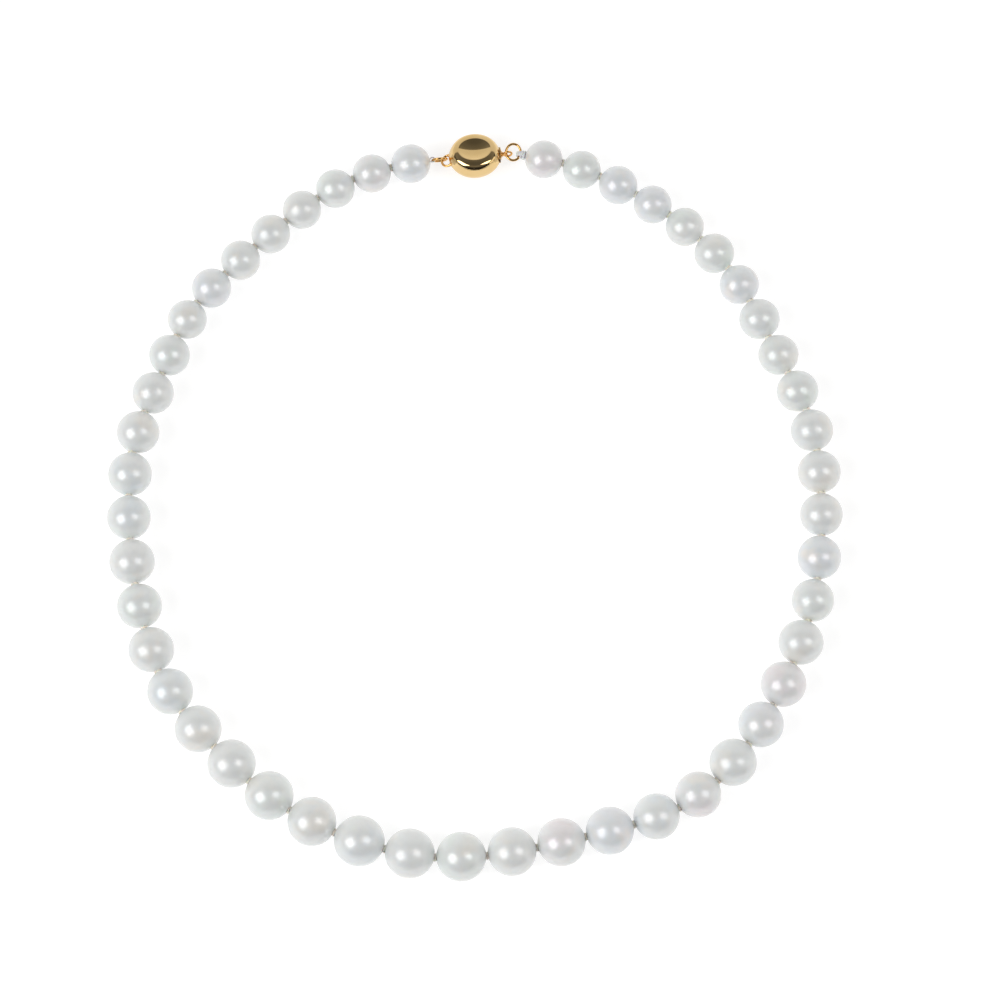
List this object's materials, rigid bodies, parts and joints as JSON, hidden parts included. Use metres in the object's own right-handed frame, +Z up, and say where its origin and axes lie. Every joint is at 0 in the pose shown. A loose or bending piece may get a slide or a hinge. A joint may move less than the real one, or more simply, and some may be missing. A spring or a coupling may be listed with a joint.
{
  "type": "pearl necklace",
  "caption": "Strand of graduated round white pearls, knotted on silk between pearls, lying as a loop and closed by an oval gold box clasp with a dished face.",
  "frame": {"origin": "centre of the loop's outline, on the surface that the strand lies on", "axes": "+Z up from that surface, +Y towards the clasp, -Y towards the centre front, +X towards the half of the strand that pearl_48 ends"},
  "size_m": [0.1472, 0.1564, 0.01],
  "materials": {
    "pearl": "polished nacre",
    "silk": "twisted silk",
    "gimp": "coiled wire sleeve",
    "gold": "polished yellow gold"
  },
  "bodies": {
    "pearl_24": {"pearl_24": "pearl", "silk_thread": "silk"},
    "pearl_01": {"pearl_01": "pearl", "gimp_left": "gimp"},
    "pearl_02": {"pearl_02": "pearl"},
    "pearl_03": {"pearl_03": "pearl"},
    "pearl_04": {"pearl_04": "pearl"},
    "pearl_05": {"pearl_05": "pearl"},
    "pearl_06": {"pearl_06": "pearl"},
    "pearl_07": {"pearl_07": "pearl"},
    "pearl_08": {"pearl_08": "pearl"},
    "pearl_09": {"pearl_09": "pearl"},
    "pearl_10": {"pearl_10": "pearl"},
    "pearl_11": {"pearl_11": "pearl"},
    "pearl_12": {"pearl_12": "pearl"},
    "pearl_13": {"pearl_13": "pearl"},
    "pearl_14": {"pearl_14": "pearl"},
    "pearl_15": {"pearl_15": "pearl"},
    "pearl_16": {"pearl_16": "pearl"},
    "pearl_17": {"pearl_17": "pearl"},
    "pearl_18": {"pearl_18": "pearl"},
    "pearl_19": {"pearl_19": "pearl"},
    "pearl_20": {"pearl_20": "pearl"},
    "pearl_21": {"pearl_21": "pearl"},
    "pearl_22": {"pearl_22": "pearl"},
    "pearl_23": {"pearl_23": "pearl"},
    "pearl_25": {"pearl_25": "pearl"},
    "pearl_26": {"pearl_26": "pearl"},
    "pearl_27": {"pearl_27": "pearl"},
    "pearl_28": {"pearl_28": "pearl"},
    "pearl_29": {"pearl_29": "pearl"},
    "pearl_30": {"pearl_30": "pearl"},
    "pearl_31": {"pearl_31": "pearl"},
    "pearl_32": {"pearl_32": "pearl"},
    "pearl_33": {"pearl_33": "pearl"},
    "pearl_34": {"pearl_34": "pearl"},
    "pearl_35": {"pearl_35": "pearl"},
    "pearl_36": {"pearl_36": "pearl"},
    "pearl_37": {"pearl_37": "pearl"},
    "pearl_38": {"pearl_38": "pearl"},
    "pearl_39": {"pearl_39": "pearl"},
    "pearl_40": {"pearl_40": "pearl"},
    "pearl_41": {"pearl_41": "pearl"},
    "pearl_42": {"pearl_42": "pearl"},
    "pearl_43": {"pearl_43": "pearl"},
    "pearl_44": {"pearl_44": "pearl"},
    "pearl_45": {"pearl_45": "pearl"},
    "pearl_46": {"pearl_46": "pearl"},
    "pearl_47": {"pearl_47": "pearl"},
    "pearl_48": {"pearl_48": "pearl", "gimp_right": "gimp"},
    "jump_ring_left": {"jump_ring_left": "gold"},
    "jump_ring_right": {"jump_ring_right": "gold"},
    "clasp_case": {"clasp_case_top": "gold", "clasp_case_base": "gold", "clasp_case_eyelet": "gold"},
    "clasp_tongue": {"clasp_tongue": "gold", "clasp_end_cap": "gold", "clasp_end_eyelet": "gold"},
    "release_leaf": {"clasp_release_leaf": "gold"}
  },
  "joints": [
    {"name": "ring_left_swing", "type": "hinge", "parent": "pearl_01", "child": "jump_ring_left", "pos_m": [-0.00873, 0.07264, 0.0039], "axis": [0, 0, 1], "range_deg": [-35, 35]},
    {"name": "clasp_case_tilt", "type": "hinge", "parent": "jump_ring_left", "child": "clasp_case", "pos_m": [-0.00676, 0.07242, 0.00318], "axis": [0.0676, -0.9776, 0.1994], "range_deg": [0, 25]},
    {"name": "ring_right_tilt", "type": "hinge", "parent": "pearl_48", "child": "jump_ring_right", "pos_m": [0.00931, 0.0738, 0.0039], "axis": [0.047, 0.9989, 0], "range_deg": [0, 40]},
    {"name": "clasp_tongue_swing", "type": "hinge", "parent": "jump_ring_right", "child": "clasp_tongue", "pos_m": [0.00644, 0.07394, 0.0039], "axis": [0, 0, 1], "range_deg": [-15, 15]},
    {"name": "release_leaf_press", "type": "hinge", "parent": "clasp_tongue", "child": "release_leaf", "pos_m": [-0.00251, 0.07327, 0.00365], "axis": [-0.0676, 0.9776, -0.1994], "range_deg": [0, 6], "stiffness_Nm_per_rad": 0.02, "deforming": ["clasp_release_leaf", "clasp_tongue"]},
    {"name": "knot_01_02_swing", "type": "hinge", "parent": "pearl_02", "child": "pearl_01", "pos_m": [-0.01728, 0.07091, 0.00399], "axis": [0, 0, 1], "range_deg": [0, 26]},
    {"name": "knot_47_48_lift", "type": "hinge", "parent": "pearl_47", "child": "pearl_48", "pos_m": [0.01814, 0.07194, 0.00391], "axis": [0.283, 0.9591, 0], "range_deg": [0, 26]},
    {"name": "knot_02_03_lift", "type": "hinge", "parent": "pearl_03", "child": "pearl_02", "pos_m": [-0.02506, 0.06838, 0.00396], "axis": [0.4103, -0.912, 0], "range_deg": [0, 20]},
    {"name": "knot_46_47_swing", "type": "hinge", "parent": "pearl_46", "child": "pearl_47", "pos_m": [0.02574, 0.06903, 0.00396], "axis": [0, 0, -1], "range_deg": [0, 26]},
    {"name": "knot_03_04_swing", "type": "hinge", "parent": "pearl_04", "child": "pearl_03", "pos_m": [-0.03219, 0.0642, 0.00396], "axis": [0, 0, 1], "range_deg": [0, 26]},
    {"name": "knot_45_46_lift", "type": "hinge", "parent": "pearl_45", "child": "pearl_46", "pos_m": [0.03303, 0.0651, 0.00396], "axis": [0.5154, 0.8569, 0], "range_deg": [0, 26]},
    {"name": "knot_04_05_lift", "type": "hinge", "parent": "pearl_05", "child": "pearl_04", "pos_m": [-0.03865, 0.05915, 0.00398], "axis": [0.6428, -0.766, 0], "range_deg": [0, 20]},
    {"name": "knot_44_45_swing", "type": "hinge", "parent": "pearl_44", "child": "pearl_45", "pos_m": [0.0398, 0.06058, 0.00393], "axis": [0, 0, -1], "range_deg": [0, 26]},
    {"name": "knot_05_06_swing", "type": "hinge", "parent": "pearl_06", "child": "pearl_05", "pos_m": [-0.04482, 0.0536, 0.00402], "axis": [0, 0, 1], "range_deg": [0, 26]},
    {"name": "knot_43_44_lift", "type": "hinge", "parent": "pearl_43", "child": "pearl_44", "pos_m": [0.04605, 0.05531, 0.00401], "axis": [0.6985, 0.7156, 0], "range_deg": [0, 26]},
    {"name": "knot_06_07_lift", "type": "hinge", "parent": "pearl_07", "child": "pearl_06", "pos_m": [-0.05077, 0.04773, 0.00404], "axis": [0.7212, -0.6927, 0], "range_deg": [0, 20]},
    {"name": "knot_42_43_swing", "type": "hinge", "parent": "pearl_42", "child": "pearl_43", "pos_m": [0.05166, 0.04897, 0.00405], "axis": [0, 0, -1], "range_deg": [0, 26]},
    {"name": "knot_07_08_swing", "type": "hinge", "parent": "pearl_08", "child": "pearl_07", "pos_m": [-0.05642, 0.04151, 0.00402], "axis": [0, 0, 1], "range_deg": [0, 26]},
    {"name": "knot_41_42_lift", "type": "hinge", "parent": "pearl_41", "child": "pearl_42", "pos_m": [0.05597, 0.04181, 0.00407], "axis": [0.8833, 0.4688, 0], "range_deg": [0, 26]},
    {"name": "knot_08_09_lift", "type": "hinge", "parent": "pearl_09", "child": "pearl_08", "pos_m": [-0.06039, 0.03425, 0.00407], "axis": [0.9122, -0.4097, 0], "range_deg": [0, 20]},
    {"name": "knot_40_41_swing", "type": "hinge", "parent": "pearl_40", "child": "pearl_41", "pos_m": [0.05956, 0.03406, 0.00411], "axis": [0, 0, -1], "range_deg": [0, 26]},
    {"name": "knot_09_10_swing", "type": "hinge", "parent": "pearl_10", "child": "pearl_09", "pos_m": [-0.06329, 0.02615, 0.00419], "axis": [0, 0, 1], "range_deg": [0, 26]},
    {"name": "knot_39_40_lift", "type": "hinge", "parent": "pearl_39", "child": "pearl_40", "pos_m": [0.06337, 0.02648, 0.00415], "axis": [0.9041, 0.4273, 0], "range_deg": [0, 26]},
    {"name": "knot_10_11_lift", "type": "hinge", "parent": "pearl_11", "child": "pearl_10", "pos_m": [-0.06658, 0.01803, 0.00426], "axis": [0.9468, -0.3219, 0], "range_deg": [0, 20]},
    {"name": "knot_38_39_swing", "type": "hinge", "parent": "pearl_38", "child": "pearl_39", "pos_m": [0.06692, 0.01849, 0.00424], "axis": [0, 0, -1], "range_deg": [0, 26]},
    {"name": "knot_11_12_swing", "type": "hinge", "parent": "pearl_12", "child": "pearl_11", "pos_m": [-0.06896, 0.00946, 0.00434], "axis": [0, 0, 1], "range_deg": [0, 26]},
    {"name": "knot_37_38_lift", "type": "hinge", "parent": "pearl_37", "child": "pearl_38", "pos_m": [0.06878, 0.00987, 0.0043], "axis": [0.9899, 0.1417, 0], "range_deg": [0, 26]},
    {"name": "knot_12_13_lift", "type": "hinge", "parent": "pearl_13", "child": "pearl_12", "pos_m": [-0.06938, 0.00039, 0.00441], "axis": [1, 0.0007, 0], "range_deg": [0, 20]},
    {"name": "knot_36_37_swing", "type": "hinge", "parent": "pearl_36", "child": "pearl_37", "pos_m": [0.06942, 0.00094, 0.00432], "axis": [0, 0, -1], "range_deg": [0, 26]},
    {"name": "knot_13_14_swing", "type": "hinge", "parent": "pearl_14", "child": "pearl_13", "pos_m": [-0.06894, -0.00876, 0.00448], "axis": [0, 0, 1], "range_deg": [0, 26]},
    {"name": "knot_35_36_lift", "type": "hinge", "parent": "pearl_35", "child": "pearl_36", "pos_m": [0.06918, -0.00798, 0.00434], "axis": [0.9975, -0.0703, 0], "range_deg": [0, 26]},
    {"name": "knot_14_15_lift", "type": "hinge", "parent": "pearl_15", "child": "pearl_14", "pos_m": [-0.06768, -0.01804, 0.00451], "axis": [0.9828, 0.1848, 0], "range_deg": [0, 20]},
    {"name": "knot_34_35_swing", "type": "hinge", "parent": "pearl_34", "child": "pearl_35", "pos_m": [0.06815, -0.01698, 0.00433], "axis": [0, 0, -1], "range_deg": [0, 26]},
    {"name": "knot_15_16_swing", "type": "hinge", "parent": "pearl_16", "child": "pearl_15", "pos_m": [-0.06551, -0.02704, 0.00451], "axis": [0, 0, 1], "range_deg": [0, 26]},
    {"name": "knot_33_34_lift", "type": "hinge", "parent": "pearl_33", "child": "pearl_34", "pos_m": [0.06618, -0.02562, 0.00438], "axis": [0.9589, -0.2838, 0], "range_deg": [0, 26]},
    {"name": "knot_16_17_lift", "type": "hinge", "parent": "pearl_17", "child": "pearl_16", "pos_m": [-0.06258, -0.03595, 0.00456], "axis": [0.9089, 0.4171, 0], "range_deg": [0, 20]},
    {"name": "knot_32_33_swing", "type": "hinge", "parent": "pearl_32", "child": "pearl_33", "pos_m": [0.06299, -0.03431, 0.00451], "axis": [0, 0, -1], "range_deg": [0, 26]},
    {"name": "knot_17_18_swing", "type": "hinge", "parent": "pearl_18", "child": "pearl_17", "pos_m": [-0.05768, -0.04407, 0.00462], "axis": [0, 0, 1], "range_deg": [0, 26]},
    {"name": "knot_31_32_lift", "type": "hinge", "parent": "pearl_31", "child": "pearl_32", "pos_m": [0.05885, -0.04271, 0.00454], "axis": [0.8712, -0.4909, 0], "range_deg": [0, 26]},
    {"name": "knot_18_19_lift", "type": "hinge", "parent": "pearl_19", "child": "pearl_18", "pos_m": [-0.05124, -0.05118, 0.0047], "axis": [0.722, 0.6919, 0], "range_deg": [0, 20]},
    {"name": "knot_30_31_swing", "type": "hinge", "parent": "pearl_30", "child": "pearl_31", "pos_m": [0.0538, -0.05063, 0.00462], "axis": [0, 0, -1], "range_deg": [0, 26]},
    {"name": "knot_19_20_swing", "type": "hinge", "parent": "pearl_20", "child": "pearl_19", "pos_m": [-0.04425, -0.05808, 0.00479], "axis": [0, 0, 1], "range_deg": [0, 26]},
    {"name": "knot_29_30_lift", "type": "hinge", "parent": "pearl_29", "child": "pearl_30", "pos_m": [0.04758, -0.05805, 0.00462], "axis": [0.6785, -0.7346, 0], "range_deg": [0, 26]},
    {"name": "knot_20_21_lift", "type": "hinge", "parent": "pearl_21", "child": "pearl_20", "pos_m": [-0.03629, -0.06399, 0.00481], "axis": [0.5254, 0.8509, 0], "range_deg": [0, 20]},
    {"name": "knot_28_29_swing", "type": "hinge", "parent": "pearl_28", "child": "pearl_29", "pos_m": [0.0399, -0.06351, 0.00456], "axis": [0, 0, -1], "range_deg": [0, 26]},
    {"name": "knot_21_22_swing", "type": "hinge", "parent": "pearl_22", "child": "pearl_21", "pos_m": [-0.02743, -0.06846, 0.0049], "axis": [0, 0, 1], "range_deg": [0, 26]},
    {"name": "knot_27_28_lift", "type": "hinge", "parent": "pearl_27", "child": "pearl_28", "pos_m": [0.0311, -0.06681, 0.00464], "axis": [0.3019, -0.9533, 0], "range_deg": [0, 26]},
    {"name": "knot_22_23_lift", "type": "hinge", "parent": "pearl_23", "child": "pearl_22", "pos_m": [-0.01767, -0.07177, 0.00495], "axis": [0.2428, 0.9701, 0], "range_deg": [0, 20]},
    {"name": "knot_26_27_swing", "type": "hinge", "parent": "pearl_26", "child": "pearl_27", "pos_m": [0.02165, -0.06927, 0.00473], "axis": [0, 0, -1], "range_deg": [0, 26]},
    {"name": "knot_23_24_swing", "type": "hinge", "parent": "pearl_24", "child": "pearl_23", "pos_m": [-0.00771, -0.07342, 0.0049], "axis": [0, 0, 1], "range_deg": [0, 26], "deforming": ["silk_thread"]},
    {"name": "knot_25_26_lift", "type": "hinge", "parent": "pearl_25", "child": "pearl_26", "pos_m": [0.01211, -0.07139, 0.00476], "axis": [0.1916, -0.9815, 0], "range_deg": [0, 26]},
    {"name": "knot_24_25_swing", "type": "hinge", "parent": "pearl_24", "child": "pearl_25", "pos_m": [0.00238, -0.07303, 0.00484], "axis": [0, 0, -1], "range_deg": [0, 26]}
  ]
}
